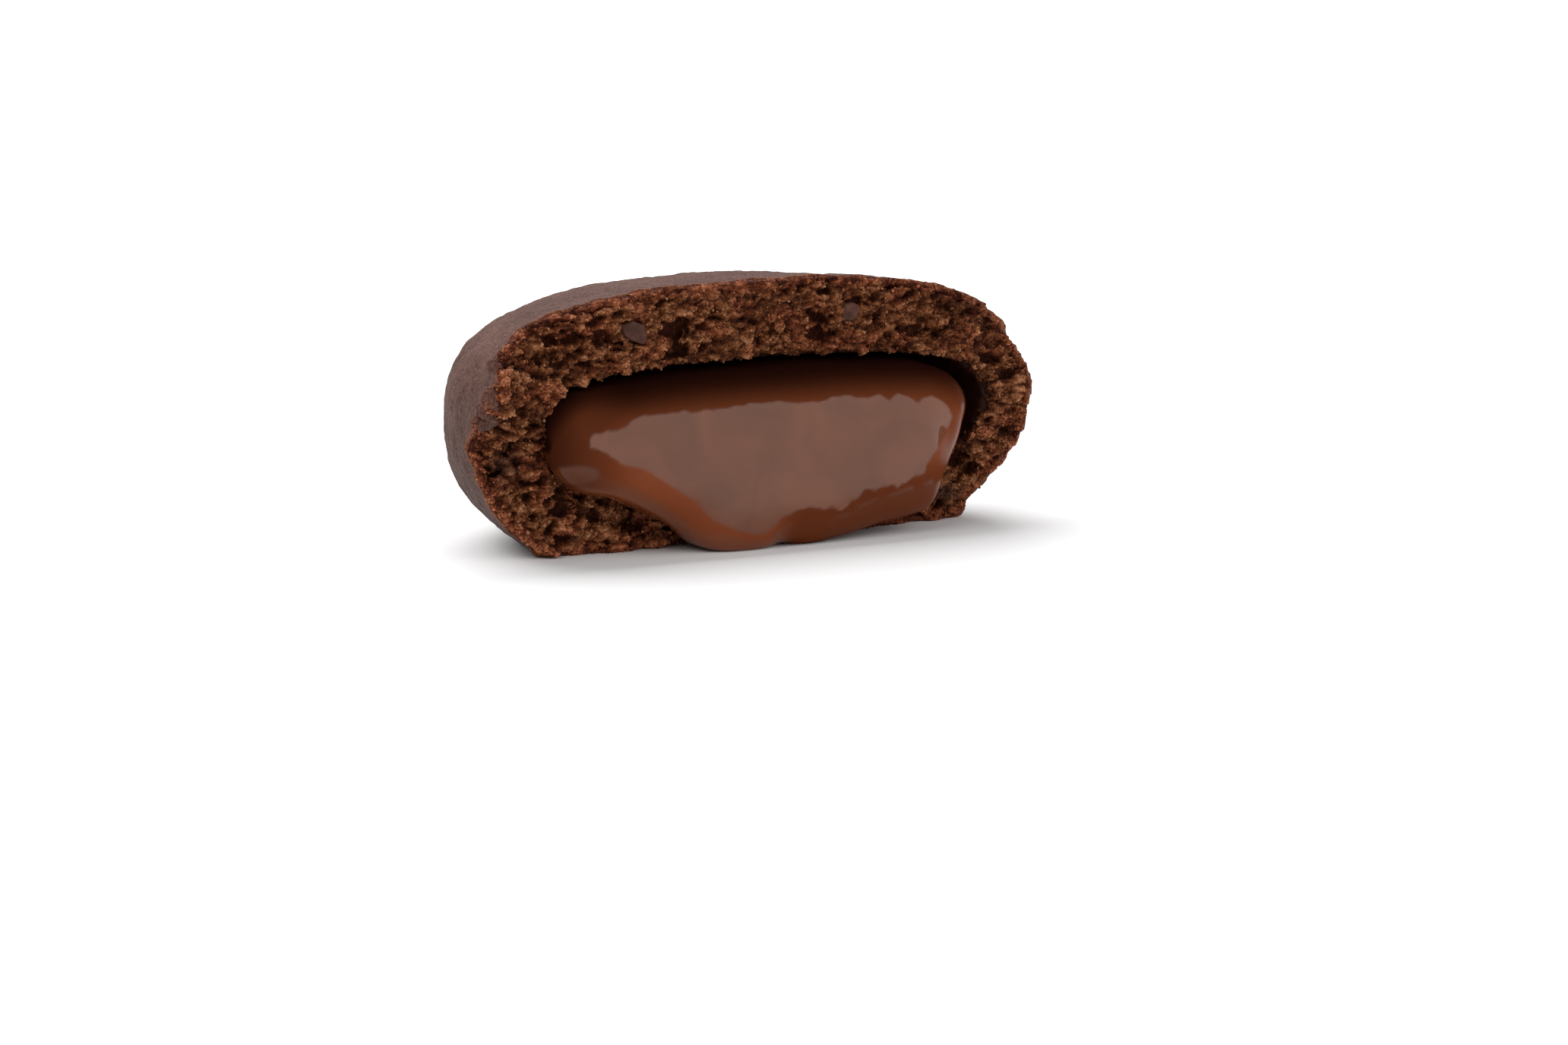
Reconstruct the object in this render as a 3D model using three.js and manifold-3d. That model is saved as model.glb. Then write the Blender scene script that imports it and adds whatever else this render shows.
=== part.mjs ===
// Half of a soft brownie cookie, broken across its middle, with molten chocolate running out over the lower lip.
// Millimetres, +Z up. X runs along the break, +Y goes into the cookie, and its base lies at Z = 0.
import * as THREE from "three";
import { mergeVertices } from "three/addons/utils/BufferGeometryUtils.js";
import { ImprovedNoise } from "three/addons/math/ImprovedNoise.js";
import Module from "manifold-3d";

const { clamp, lerp, smoothstep } = THREE.MathUtils;

// The whole cookie, before it was broken
const COOKIE_D = 50;
const COOKIE_H = 20.2;
const GIRTH_Z = 10.3; // height of the widest girth
const CROWN_POWER = 2.8; // squareness of the upper shoulder
const SOLE_POWER = 2.5; // squareness of the lower edge
const SOLE_DEPTH = 13.2; // how far under the girth the lower curve would close, if the base weren't flat
const SOLE_EASE = 0.5; // rounding between the flat base and the lower curve
const CRUST_STEPS = 26; // rings from base to crown
const CRUST_SEGMENTS = 84; // facets round the whole cookie
const CRUST_SWELL = { height: 0.35, span: 9, seed: 7.3 }; // slow unevenness of the baked crust
const EVEN_Z = 3; // the swell fades out below this height, so that the base stays flat

// The chamber that the filling baked in, a lens round its own upright axis
const CHAMBER_D = 40.2;
const CHAMBER_X = 0.9;
const CHAMBER_Z = 8.9; // height of its widest girth
const CHAMBER_ROOF = 14;
const CHAMBER_FLOOR = 2.6;
const ROOF_POWER = 3.5;
const FLOOR_POWER = 1.9;
const CHAMBER_STEPS = 15;
const CHAMBER_SEGMENTS = 52;

// The break: a torn face near the cookie's middle, with slow bends and with crags in the crumb
const BREAK_Y = 1;
const BREAK_CELL = 0.66; // grid of the torn face
const BREAK_LUMPS = [
  { height: 0.8, span: 13, seed: 1.7 },
  { height: 0.75, span: 3.1, seed: 5.2 },
  { height: 0.5, span: 1.35, seed: 11.4 },
];
// Places where the face stands out towards the viewer (out > 0) or is torn deeper
const BREAK_BUMPS = [
  { x: -24, z: 13.2, spread: 2.2, out: 2.1 }, // shoulder of crust left standing
  { x: -24.6, z: 8.4, spread: 1.7, out: -0.9 }, // step under it
  { x: 23.5, z: 14.8, spread: 1.7, out: -1.8 }, // notch in the far edge
  { x: 24.4, z: 11, spread: 1.5, out: 0.9 }, // bulge under it
  { x: 21, z: 2.4, spread: 1.6, out: -1.5 }, // corner of the base crumbled away
  { x: 0, z: 19.8, spread: 6, out: -0.5 }, // crown edge crumbled back
  { x: -9.4, z: 1.7, spread: 1.4, out: 1 }, // lump under the lip
  { x: -11.7, z: 2.7, spread: 0.8, out: -1.6 }, // pocket beside it
  { x: -7.4, z: 16.6, spread: 0.65, out: -1.3 }, // pores in the roof
  { x: -7.2, z: 15.2, spread: 0.55, out: -1 },
  { x: 5.2, z: 17.2, spread: 0.6, out: -1.2 },
  { x: 4.9, z: 15.8, spread: 0.55, out: -1.1 },
  { x: -19.2, z: 15.8, spread: 1, out: -0.9 }, // hollows at the two ends
  { x: 21.4, z: 12.2, spread: 0.7, out: -1.2 },
  { x: 18.8, z: 4.2, spread: 1, out: -1.5 },
];

// Chocolate pieces baked into the crumb, which show in the torn face
const CHIPS = [
  { x: -11.1, z: 16.9, size: 1 },
  { x: 8.1, z: 17.2, size: 0.95 },
  { x: -21.6, z: 7.6, size: 1.5 },
];
const CHIP_SUNK = 0.6; // share of a chip's size that it sits behind the face
const CHIP_FORM = [1, 0.8, 0.85]; // a chip's proportions along X, Y and Z

// The filling
const GAP = 0.3; // clearance to the crumb
const FILL_SLUMP = 0.8; // sag of its top at the mouth
const FILL_PULL = 1.5; // how far it has drawn in from the far wall at the mouth
const SLUMP_REACH = 9; // depth behind the mouth where the sag ends
const MOUTH_Y = 5.5; // where the filling in the chamber meets the tongue

// The tongue that runs out: its edge seen from the front, anticlockwise from the right
const TONGUE_EDGE = [
  [18.3, 8.8],
  [16.9, 12],
  [8, 13.3],
  [-4, 13.2],
  [-14.5, 12.6],
  [-17.8, 11.3],
  [-18.9, 8.8],
  [-17.7, 6.2],
  [-14.4, 4.8],
  [-11.4, 3.5],
  [-9, 2.2],
  [-7.2, 0.7],
  [-5, 0.05],
  [-2.2, 0.02],
  [-0.3, 0.5],
  [1.4, 0.2],
  [5, 0.5],
  [9.1, 1.2],
  [14.2, 2],
  [16, 4.2],
];
const TONGUE_CENTRE = { x: 0.4, z: 8.6 };
const TONGUE_POWER = 4; // fullness of the bulge
const TONGUE_RIM_Y = 1.4; // its edge against the crumb
const ROOF_RIM_Y = 5; // its edge under the roof
const TONGUE_BACK = 6; // how far it reaches into the chamber
const DRIP_RIM_Y = -2.2; // its edge where it hangs in front of the lip
const DRIP_Z = 3.4; // height where it begins to hang
const BULGE_TOP_Y = -0.1; // front of the bulge under the roof, if it didn't lean back there
const BULGE_LOW_Y = -4.2; // front of the bulge at the lip
const LEAN_Z = 11; // height where the bulge begins to lean back
const LEAN = 0.5; // how quickly it does
const TONGUE_ROUND = 60;
const TONGUE_RINGS = 26;

// Finishes
const CRUMB = { color: 0x5a3a2c, roughness: 0.85, metalness: 0 };
const CHOCOLATE = { color: 0x6e3a24, roughness: 0.25, metalness: 0 };

const MERGE_MM = 1e-4; // vertices closer than this are one
const OUTLINE_SAMPLES = 60; // per quarter of a lens's outline, before it is spaced evenly

const perlin = new ImprovedNoise();
const wasm = await Module();
wasm.setup();

// A closed solid from a three.js geometry.
function solidOf(geometry) {
  const bare = new THREE.BufferGeometry();
  bare.setAttribute("position", geometry.getAttribute("position"));
  bare.setIndex(geometry.index);
  const merged = mergeVertices(bare, MERGE_MM);
  const mesh = new wasm.Mesh({
    numProp: 3,
    vertProperties: merged.attributes.position.array,
    triVerts: new Uint32Array(merged.index.array),
  });
  return new wasm.Manifold(mesh);
}

// A three.js geometry from the largest body of a solid, so that loose crumbs are dropped.
function geometryOf(solid) {
  const largest = solid.decompose().reduce((a, b) => (b.volume() > a.volume() ? b : a));
  const { vertProperties, triVerts, numProp, numVert } = largest.getMesh();
  const places = new Float32Array(numVert * 3);
  for (let i = 0; i < numVert; i++) {
    places.set(vertProperties.subarray(i * numProp, i * numProp + 3), i * 3);
  }
  const geometry = new THREE.BufferGeometry();
  geometry.setAttribute("position", new THREE.BufferAttribute(places, 3));
  geometry.setIndex(new THREE.BufferAttribute(triVerts, 1));
  geometry.computeVertexNormals();
  return geometry;
}

// Moves every vertex of a geometry by a function that changes the point in place.
function moveVertices(geometry, move) {
  const places = geometry.getAttribute("position");
  const point = new THREE.Vector3();
  for (let i = 0; i < places.count; i++) {
    point.fromBufferAttribute(places, i);
    move(point);
    places.setXYZ(i, point.x, point.y, point.z);
  }
  return geometry;
}

// Smooth random unevenness at a point, with lumps of about the given span.
function lumps(x, y, z, { height, span, seed }) {
  return height * perlin.noise(x / span + seed, y / span + 2 * seed, z / span + 3 * seed);
}

// Half outline of a rounded lens, from its lowest point on the axis to its highest, in evenly spaced steps.
// A lens that reaches below floorZ is cut off flat there.
function lensOutline({ radius, girthZ, up, down, upPower, downPower, floorZ, steps }) {
  const curve = [];
  for (let i = -OUTLINE_SAMPLES; i <= OUTLINE_SAMPLES; i++) {
    const angle = (i / OUTLINE_SAMPLES) * (Math.PI / 2);
    const power = 2 / (i < 0 ? downPower : upPower);
    const reach = i < 0 ? down : up;
    const across = radius * Math.max(Math.cos(angle), 0) ** power;
    const height = girthZ + reach * Math.sign(i) * Math.abs(Math.sin(angle)) ** power;
    if (height > floorZ) curve.push(new THREE.Vector2(across, height));
  }
  if (girthZ - down < floorZ) {
    curve.unshift(new THREE.Vector2(0, floorZ), new THREE.Vector2(curve[0].x - SOLE_EASE, floorZ));
  }
  const outline = new THREE.SplineCurve(curve).getSpacedPoints(steps);
  outline.forEach((point) => point.set(Math.max(point.x, 0), Math.max(point.y, floorZ)));
  outline[0].x = 0;
  outline[steps].x = 0;
  return outline;
}

// A lens turned round the Z axis.
function lens(shape, segments) {
  return new THREE.LatheGeometry(lensOutline(shape), segments).rotateX(Math.PI / 2);
}

// The whole cookie's outside, slightly uneven as it baked.
function wholeCookie() {
  const shape = {
    radius: COOKIE_D / 2,
    girthZ: GIRTH_Z,
    up: COOKIE_H - GIRTH_Z,
    down: SOLE_DEPTH,
    upPower: CROWN_POWER,
    downPower: SOLE_POWER,
    floorZ: 0,
    steps: CRUST_STEPS,
  };
  return moveVertices(lens(shape, CRUST_SEGMENTS), (p) => {
    const swell = lumps(p.x, p.y, p.z, CRUST_SWELL) * smoothstep(p.z, 0, EVEN_Z);
    const grow = 1 + swell / Math.hypot(p.x, p.y, p.z - GIRTH_Z);
    p.set(p.x * grow, p.y * grow, GIRTH_Z + (p.z - GIRTH_Z) * grow);
  });
}

// The chamber, or the room inside it that stays clear of its wall by an inset.
function chamber(inset) {
  const shape = {
    radius: CHAMBER_D / 2 - inset,
    girthZ: CHAMBER_Z,
    up: CHAMBER_ROOF - CHAMBER_Z - inset,
    down: CHAMBER_Z - CHAMBER_FLOOR - inset,
    upPower: ROOF_POWER,
    downPower: FLOOR_POWER,
    floorZ: 0,
    steps: CHAMBER_STEPS,
  };
  return lens(shape, CHAMBER_SEGMENTS).translate(CHAMBER_X, 0, 0);
}

// Depth of the torn face at a place on it.
function breakDepth(x, z) {
  const crags = BREAK_LUMPS.reduce((sum, lump) => sum + lumps(x, 0, z, lump), 0);
  const bumps = BREAK_BUMPS.reduce((sum, bump) => {
    const away = ((x - bump.x) ** 2 + (z - bump.z) ** 2) / (2 * bump.spread ** 2);
    return sum + bump.out * Math.exp(-away);
  }, 0);
  return BREAK_Y - crags - bumps;
}

// The half that was pulled away: a block larger than that half, whose far side is the torn face.
// A gap moves the torn face towards the viewer.
function pulledHalf(gap) {
  const width = COOKIE_D * 1.1;
  const height = COOKIE_H * 1.3;
  const columns = Math.round(width / BREAK_CELL);
  const rows = Math.round(height / BREAK_CELL);
  const block = new THREE.BoxGeometry(width, COOKIE_D, height, columns, 1, rows);
  block.translate(0, 0, COOKIE_H / 2);
  return moveVertices(block, (p) => {
    p.y = p.y > 0 ? breakDepth(p.x, p.z) - gap : -COOKIE_D;
  });
}

// A chocolate piece, sunk into the torn face.
function chip({ x, z, size }) {
  const depth = breakDepth(x, z) + size * CHIP_SUNK;
  return new THREE.IcosahedronGeometry(size, 1).scale(...CHIP_FORM).translate(x, depth, z);
}

// Crust and crumb of the half, hollow where the filling was. A gap makes the crumb that much thicker.
function cookieHalf(gap) {
  const whole = solidOf(wholeCookie());
  const crumb = whole.subtract(solidOf(pulledHalf(gap))).subtract(solidOf(chamber(gap)));
  return CHIPS.reduce((body, piece) => body.add(solidOf(chip(piece))), crumb);
}

// The filling still in the chamber. Its top sags and its far side has drawn in near the mouth.
function filledChamber() {
  const held = moveVertices(chamber(GAP), (p) => {
    const near = 1 - smoothstep(p.y, MOUTH_Y, MOUTH_Y + SLUMP_REACH);
    const high = clamp((p.z - CHAMBER_Z) / (CHAMBER_ROOF - CHAMBER_Z), 0, 1);
    const far = clamp((p.x - CHAMBER_X) / (CHAMBER_D / 2), 0, 1);
    p.z -= FILL_SLUMP * near * high;
    p.x -= FILL_PULL * near * far ** 3;
  });
  const front = new THREE.BoxGeometry(COOKIE_D, COOKIE_D, COOKIE_D).translate(0, MOUTH_Y - COOKIE_D / 2, 0);
  return solidOf(held).subtract(solidOf(front));
}

// The tongue: a sphere whose girth is drawn out to the tongue's edge and whose front bulges forward.
function tongue() {
  const edge = new THREE.CatmullRomCurve3(
    TONGUE_EDGE.map(([x, z]) => new THREE.Vector3(x, 0, z)),
    true,
  );
  const power = 2 / TONGUE_POWER;
  return moveVertices(new THREE.SphereGeometry(1, TONGUE_ROUND, TONGUE_RINGS), (p) => {
    const turn = (Math.atan2(p.z, p.x) / (2 * Math.PI) + 1) % 1;
    const rim = edge.getPoint(turn);
    const outward = Math.hypot(p.x, p.z) ** power;
    const forward = Math.abs(p.y) ** power;
    const x = lerp(TONGUE_CENTRE.x, rim.x, outward);
    const z = Math.max(lerp(TONGUE_CENTRE.z, rim.z, outward), 0);
    const sideY = lerp(DRIP_RIM_Y, TONGUE_RIM_Y, smoothstep(z, 0, DRIP_Z));
    const rimY = lerp(sideY, ROOF_RIM_Y, smoothstep(z, LEAN_Z, CHAMBER_ROOF));
    const lean = LEAN * Math.max(z - LEAN_Z, 0) ** 2;
    const frontY = lerp(BULGE_LOW_Y, BULGE_TOP_Y, (z / CHAMBER_ROOF) ** 2) + lean;
    const y = p.y < 0 ? lerp(rimY, frontY, forward) : rimY + TONGUE_BACK * forward;
    p.set(x, y, z);
  });
}

// The whole filling, clear of the crumb.
function filling() {
  return filledChamber().add(solidOf(tongue())).subtract(cookieHalf(GAP));
}

function piece(name, solid, finish) {
  const mesh = new THREE.Mesh(geometryOf(solid), new THREE.MeshStandardMaterial(finish));
  mesh.name = name;
  return mesh;
}

const cookie = new THREE.Group();
cookie.add(piece("cookie_half", cookieHalf(0), CRUMB));
cookie.add(piece("chocolate_filling", filling(), CHOCOLATE));

// The origin is under the middle of the half, on the surface that it lies on.
const middle = new THREE.Box3().setFromObject(cookie).getCenter(new THREE.Vector3());
cookie.children.forEach((mesh) => mesh.position.set(-middle.x, -middle.y, 0));

export default cookie;
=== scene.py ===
import math

import bmesh
import bpy
import numpy as np
from mathutils import Euler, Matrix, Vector, noise
from mathutils.bvhtree import BVHTree
from mathutils.kdtree import KDTree


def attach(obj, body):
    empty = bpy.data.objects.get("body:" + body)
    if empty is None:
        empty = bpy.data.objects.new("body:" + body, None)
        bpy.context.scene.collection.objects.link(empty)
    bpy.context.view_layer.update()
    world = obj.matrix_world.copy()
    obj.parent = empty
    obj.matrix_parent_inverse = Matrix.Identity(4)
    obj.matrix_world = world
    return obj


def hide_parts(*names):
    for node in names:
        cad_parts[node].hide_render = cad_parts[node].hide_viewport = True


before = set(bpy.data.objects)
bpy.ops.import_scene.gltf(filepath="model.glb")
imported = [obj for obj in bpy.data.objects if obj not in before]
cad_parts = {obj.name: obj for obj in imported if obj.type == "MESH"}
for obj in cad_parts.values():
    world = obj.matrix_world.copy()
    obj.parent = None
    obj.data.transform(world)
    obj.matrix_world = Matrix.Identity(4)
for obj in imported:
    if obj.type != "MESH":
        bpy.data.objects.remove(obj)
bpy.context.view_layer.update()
noise.seed_set(3)  # vector noise starts from the clock without it

# Sizes are in millimetres. A pair for smoothstep is where something begins and where it is whole.
# Unevenness is its depth, its size and, where that is given, its place in the noise.
MM = 0.001  # the frame is in metres

# The cookie in the frame: X along the break, +Y into the cookie
AXIS = Vector((-0.01, -10.63, 10.3))  # middle of the whole cookie, at its girth
COOKIE_R = 25.0
CROWN_H = 9.9
CROWN_POWER = 2.8
SOLE_H = 13.2
SOLE_POWER = 2.5
BREAK_Y = -9.63  # mean plane of the torn face
BREAK_DEPTH = 3.5  # nothing of the torn face lies farther behind that plane
BEFORE_BREAK = -40.0  # a place well in front of it, along Y
CLEAN_BREAK = (11, 17)  # along X, where the ragged edge turns into a clean one

# The baked crust
CRUST_VOXEL = 0.27
CRUST_THICK = 0.55
CRUST_REACH = 0.6  # what lies this close to the outside is crust
CRUST_FACING = -0.4  # what faces forward more than this is break
CRUST_SMOOTHING = 70  # takes the solid's facets out of it
EDGE_SMOOTHING = 2
CRUST_RELIEF = ((0.1, 4.5), (0.11, 1.3, (3, 8, 1)), (0.07, 0.6, (9, 2, 5)))
CRUST_FOOT = (0, 1.2)  # height over which its relief begins
RIM_RINGS = 5  # rings of faces behind the torn edge where the crust is raw
FLAKED_RINGS = 2.2  # how many of them flaked off
CLEAN_RINGS = 1.7  # how many fewer where it broke clean
FLAKES = (1.7, 1.3)  # unevenness of that, in rings
LUMP_RINGS = 4  # how many fewer at a lump
LUMPS = (  # raw lumps on its near edge: middle, reach and height
    ((-23.3, -10.0, 15.6), 1.0, 0.5),
    ((-24.7, -11.2, 12.7), 1.4, 0.55),
    ((-24.8, -10.3, 11.2), 1.2, 0.5),
    ((-24.9, -9.6, 9.2), 1.0, 0.5),
)
LUMP_TOP = 0.2  # share of the reach where they are highest
LUMP_OUTLINE = (0.5, 0.6)  # unevenness of their outlines
LUMP_ROUGH = (0.5, 0.7)  # unevenness of their heights, as a share
LUMP_RAW = 0.9  # how much of them is raw dough
KNOBS = (  # knobs of crust that stayed on the crumb at that edge: middle and half sizes
    ((-24.6, -11.6, 13.0), (0.7, 0.5, 0.75)),
    ((-24.5, -11.0, 12.1), (0.7, 0.55, 0.7)),
    ((-24.15, -11.35, 12.1), (0.5, 0.4, 0.45)),
    ((-24.1, -11.05, 11.4), (0.5, 0.4, 0.5)),
    ((-24.5, -10.4, 10.9), (0.65, 0.45, 0.6)),
)
KNOB_RELIEF = ((0.3, 0.8), (0.12, 0.3))
KNOB_RAW = 0.63  # how much of them is raw dough

# The torn crumb
CRUMB_VOXEL = 0.575
CRUMB_CUTS = 4
CRUMB_FACING = -0.35  # what faces forward more than this is torn
CRUMB_RIND = 1.0  # what lies this close to the outside is drawn in
CRUMB_INSET = 0.22  # it begins this far under the crust
EDGE_INSET = 0.12  # and this far at the torn edge
CRUMB_FLOOR = 0.05  # it ends this far above the base
TORN_RINGS = 3  # rings of faces round the torn face over which its relief fades
TORN_CUT = 0.5  # faces that are torn more than this are cut finer
TORN_RELIEF = (0.2, 0.9)  # how torn it is where its relief starts
RIND_RELIEF = (-0.1, 0.7)  # and how far from the outside that is
CHAMBER_DRY = (0.3, 0.8)  # how torn it is where the chamber's soaked, dark crumb ends, whose darkness is partly painted shade
DOUGH_LAYERS = (0.7, 1.25)  # the dough rose in flat layers, wide along X and low along Z
DOUGH_BENDS = (0.12, 0.5)  # unevenness of the layers
CRUMB_CLUMP = 1.0  # sizes of its clumps, of the lumps on them and of the beads on those
CRUMB_LUMP = 0.95
CRUMB_BEAD = 0.31
CLUMP_NOISE = (0.8, 2.1, 3)  # roughness, step between octaves, octaves
COARSER = 0.45  # how much coarser the clumps are on the left
COARSE_X = (-15, -8)  # where that ends
CELL_SIDE = (0.0, 0.42)  # from the cracks round a lump or bead to its flat top
CELL_DRAW = 7.3  # spreads their places over the noise
PORE = 0.7  # how deep the clefts between clumps are, where a hole is 1
PORE_EDGE = (0.35, 0.75)
# What the parts of its form add to its height and to its lightness, which paints shade into its cracks and
# holes:
# all of it, clumps, lumps, each lump's own number, beads, each bead's own number, and holes
CRUMB_HEIGHT = (-0.412, 0.35, 0.3, 0.0, 0.12, 0.08, -0.8)
CRUMB_LIGHT = (0.106, 0.36, 0.3, 0.08, 0.22, 0.1, -0.65)
FOOT_LIGHT = 0.1  # painted light: its foot is lighter
FOOT_Z = (2, 7)  # up to there
LEFT_DIM = 0.11  # painted shade: its left side is dimmer
LEFT_DIM_X = (-20, -14)
LEFT_DIM_Z = (5, 8)
ROOF_DIM = 0.003  # painted shade: its roof is dimmer towards the right, by this much per millimetre
ROOF_Z = (11, 14)
BAKED_DEPTH = (0.3, 1.4)  # under the crust, where browning ends
BAKED_EDGE = (0.5, 1.5)  # unevenness of that
BAKED_PATCH = (1.0, 2.3, (4, 1, 7))  # unevenness that browns patches elsewhere
BAKED_PATCH_EDGE = (0.0, 0.4)
BAKED_PATCH_SHARE = 0.7  # how browned they are
SOAKED = (  # crumb that soaked up cocoa fat: place along X and Z, half width and half height
    (17.0, 2.2, 2.2, 0.9),
    (-22.3, 7.7, 1.3, 1.1),
)
SOAKED_SHARE = 0.7  # how soaked they are, where the chamber, dark partly with painted shade, is 1
SOAKED_FADE = (0.5, 1.2)  # in half sizes from the middle
SOAKED_EDGE = (0.4, 0.7)  # unevenness of that
HOLLOWS = (  # holes in the torn face, sunk and darkened with painted shade: place along X and Z, half width and half height
    (-18.2, 18.0, 0.6, 0.4), (-14.3, 18.1, 0.8, 0.4), (-18.2, 16.6, 0.5, 0.35), (-16.6, 16.6, 0.6, 0.4),
    (-19.4, 15.4, 0.4, 0.4), (-17.9, 15.0, 1.1, 0.4), (-18.3, 14.3, 0.4, 0.35), (-20.1, 14.4, 0.7, 0.4),
    (-15.2, 14.6, 0.6, 0.35), (-20.8, 9.9, 0.35, 0.35), (-6.8, 16.6, 0.8, 0.8), (-6.7, 15.2, 0.7, 0.7),
    (-8.3, 18.9, 0.5, 0.3), (-14.0, 16.6, 0.6, 0.7), (-4.7, 15.3, 0.35, 0.3), (0.1, 16.9, 0.35, 0.35),
    (-4.9, 16.9, 0.35, 0.3), (5.8, 16.9, 0.7, 0.6), (5.8, 15.6, 0.6, 0.6), (11.0, 16.7, 0.45, 0.45),
    (14.6, 15.5, 1.1, 0.4), (12.2, 15.2, 0.5, 0.35), (10.8, 18.3, 0.6, 0.4), (2.9, 19.3, 0.6, 0.3),
    (6.5, 18.9, 0.5, 0.35), (16.1, 18.1, 0.35, 0.35), (17.0, 17.2, 0.5, 0.4), (21.6, 12.7, 0.7, 0.5),
    (22.7, 11.5, 0.6, 0.5), (19.0, 4.6, 0.8, 0.6), (20.2, 3.8, 0.7, 0.5), (20.7, 9.0, 0.4, 0.5),
    (22.9, 6.6, 0.5, 0.45), (-17.7, 5.2, 0.45, 0.5), (-18.9, 4.4, 0.45, 0.35), (-20.4, 4.6, 0.35, 0.3),
    (-15.8, 3.3, 1.2, 0.4), (-18.5, 2.6, 0.45, 0.3), (-11.3, 2.1, 0.8, 0.6), (-7.5, 1.7, 0.6, 0.5),
    (-23.7, 7.5, 0.35, 0.3),
)
HOLLOW_SIDE = (0.4, 1.4)  # in half sizes from the middle
HOLLOW_ROUGH = 0.8  # unevenness of that, and its size and noise
HOLLOW_GRAIN = 0.6
HOLLOW_NOISE = (0.8, 2.1, 2)

# The granules on it
COARSE_GRAINS = (9500, (0.06, 0.14), (5, 3))  # how many, their radii, and the facets round and up each one
FINE_GRAINS = (24500, (0.035, 0.08), (4, 2))
SEAT_TORN = 0.4  # they sit where the face is torn more than this
SEAT_CLEAR = 0.05  # this far from the outside
SEAT_CLEAN = 0.2  # and this much farther where it broke clean
SMALLEST_SEAT = 0.08  # near the outside they are no larger than this
GRAIN_FORM = (0.55, 1.35)  # how they differ from balls
GRAIN_LIFT = (-0.3, 0.6)  # how far their middles stand out, in radii
GRAIN_TONE = (0.05, 0.32)  # mean and spread of their tones round the crumb's
DARK_SPREAD = 0.3  # share of that spread on the darkest crumb
TONE_SPREAD = 2.0  # and how it grows with the crumb's tone
GRAIN_BAKED = (-0.2, 0.5)  # how their browning differs from the crumb's
MEAN_GRAIN = 0.1
GRAIN_LIGHT = 0.8  # larger ones are lighter, by this much per millimetre

# Chocolate pieces in the torn face: place along X and Z, how far the crumb keeps from there, and outline
CHIPS = (
    (-11.05, 16.9, 0.8, (
        (-1.14, 0.55), (-0.12, 0.9), (0.87, 0.5), (0.99, -0.2),
        (1.1, -0.7), (0.76, -1.0), (-0.15, -0.65), (-0.87, -0.2),
    )),
    (8.72, 17.15, 0.7, (
        (-0.87, 0.24), (-0.55, 0.6), (0.07, 0.83), (0.83, 0.54),
        (0.83, -0.06), (0.28, -0.71), (-0.69, -0.65),
    )),
)
CHIP_OUT = 0.05  # how far they stand out
CHIP_DEEP = 1.5
CHIP_EDGE = 0.12  # how rounded they are
CHIP_CROWN = Vector((0.3, -0.12, 0.1))  # where the facets of the broken face meet, from its middle
CHIP_SEAT = 0.3  # how far the crumb lies back from them

# The filling
FILLING_VOXEL = 0.36
FILLING_SWELL = 0.28  # closes the clearance that the solids keep
LEFT_SWELL = 0.4  # and the wider one at the left end
LEFT_SWELL_X = (-18, -14)
RIGHT_SHRINK = 0.5  # the right end keeps back
RIGHT_SHRINK_X = (13, 16)
RIGHT_SHRINK_Z = (8, 10)
FILLING_SMOOTHING = 8
FILLING_WAVES = ((0.05, 4.5, (1, 5, 2)), (0.018, 1.4))
REFLECTION_EDGE = (  # outline of the painted mask inside which it reflects, along X and Z
    (-16.9, 9.4), (-16.2, 9.9), (-14.0, 10.1), (-12.9, 10.5), (-11.9, 10.9), (-4.9, 11.0), (-1.2, 11.2),
    (2.8, 10.9), (5.4, 11.2), (8.1, 10.9), (9.0, 11.1), (9.9, 10.7), (10.9, 10.9), (12.7, 10.3),
    (13.9, 10.6), (15.0, 10.2), (15.7, 9.5), (15.8, 8.7), (14.3, 7.0), (12.6, 5.5), (12.4, 4.8),
    (11.4, 4.7), (9.6, 3.9), (9.1, 4.2), (6.4, 3.9), (5.2, 3.0), (4.4, 2.6), (1.6, 3.0), (-0.8, 2.5),
    (-1.3, 2.0), (-2.7, 1.2), (-5.1, 1.8), (-7.0, 2.8), (-7.7, 3.6), (-9.2, 4.7), (-11.0, 6.0),
    (-12.9, 7.1), (-14.2, 7.4), (-15.7, 8.4), (-16.8, 8.8),
)
REFLECTION_WAVER = (0.2, 0.8)  # unevenness of that edge
REFLECTION_FADE = (-0.1, 0.1)  # and how soft it is
FOLD = (  # crease under the reflection, raised, with a painted glint along it
    (3.7, 2.0), (5.0, 2.1), (6.1, 2.6), (7.5, 3.1), (9.1, 3.3), (10.7, 3.7), (13.0, 4.0),
)
FOLD_WIDTH = 0.2
FOLD_RISE = 0.06  # how far it stands out
FOLD_GAPS = (1.0, 1.1)  # unevenness that breaks it up
FOLD_GAP_EDGE = (-0.4, 0.3)
FILM = (-17.7, 6.7, 1.7, 0.9)  # painted reflection of a thin film on the left: place along X and Z, half width and half height
FILM_FADE = (0.7, 1.1)  # in half sizes from the middle
# The lip, rim and hem are strips of painted reflection along its edges
LIP_START = 1.5  # how far from the reflection's outline the glossy lip of painted reflection starts
LIP_NEARER = 0.9  # how much nearer it starts on the right
LIP_NEARER_X = (-9, -5)
LIP_SOFT = 0.2
LIP_END_X = (-1, 0.5)
LIP_END_Z = (5, 7)
RIM_FACING = (0.35, 0.6)  # the right rim: how far it faces right, and where it is
RIM_X = (12, 14)
RIM_Z = (5, 7)
HEM_DROP = (0, 0.3)  # the hem: how far under the crease, where it starts, and how far it faces forward
HEM_X = (2.5, 4.5)
HEM_FACING = (0.5, 0.8)
CREASE_GLOSS = 0.4  # how much these painted strips mirror, where the mask is 1
LIP_GLOSS = 0.55
FILM_GLOSS = 0.5
HEM_GLOSS = 0.1
RIM_GLOSS = 0.35
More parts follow.
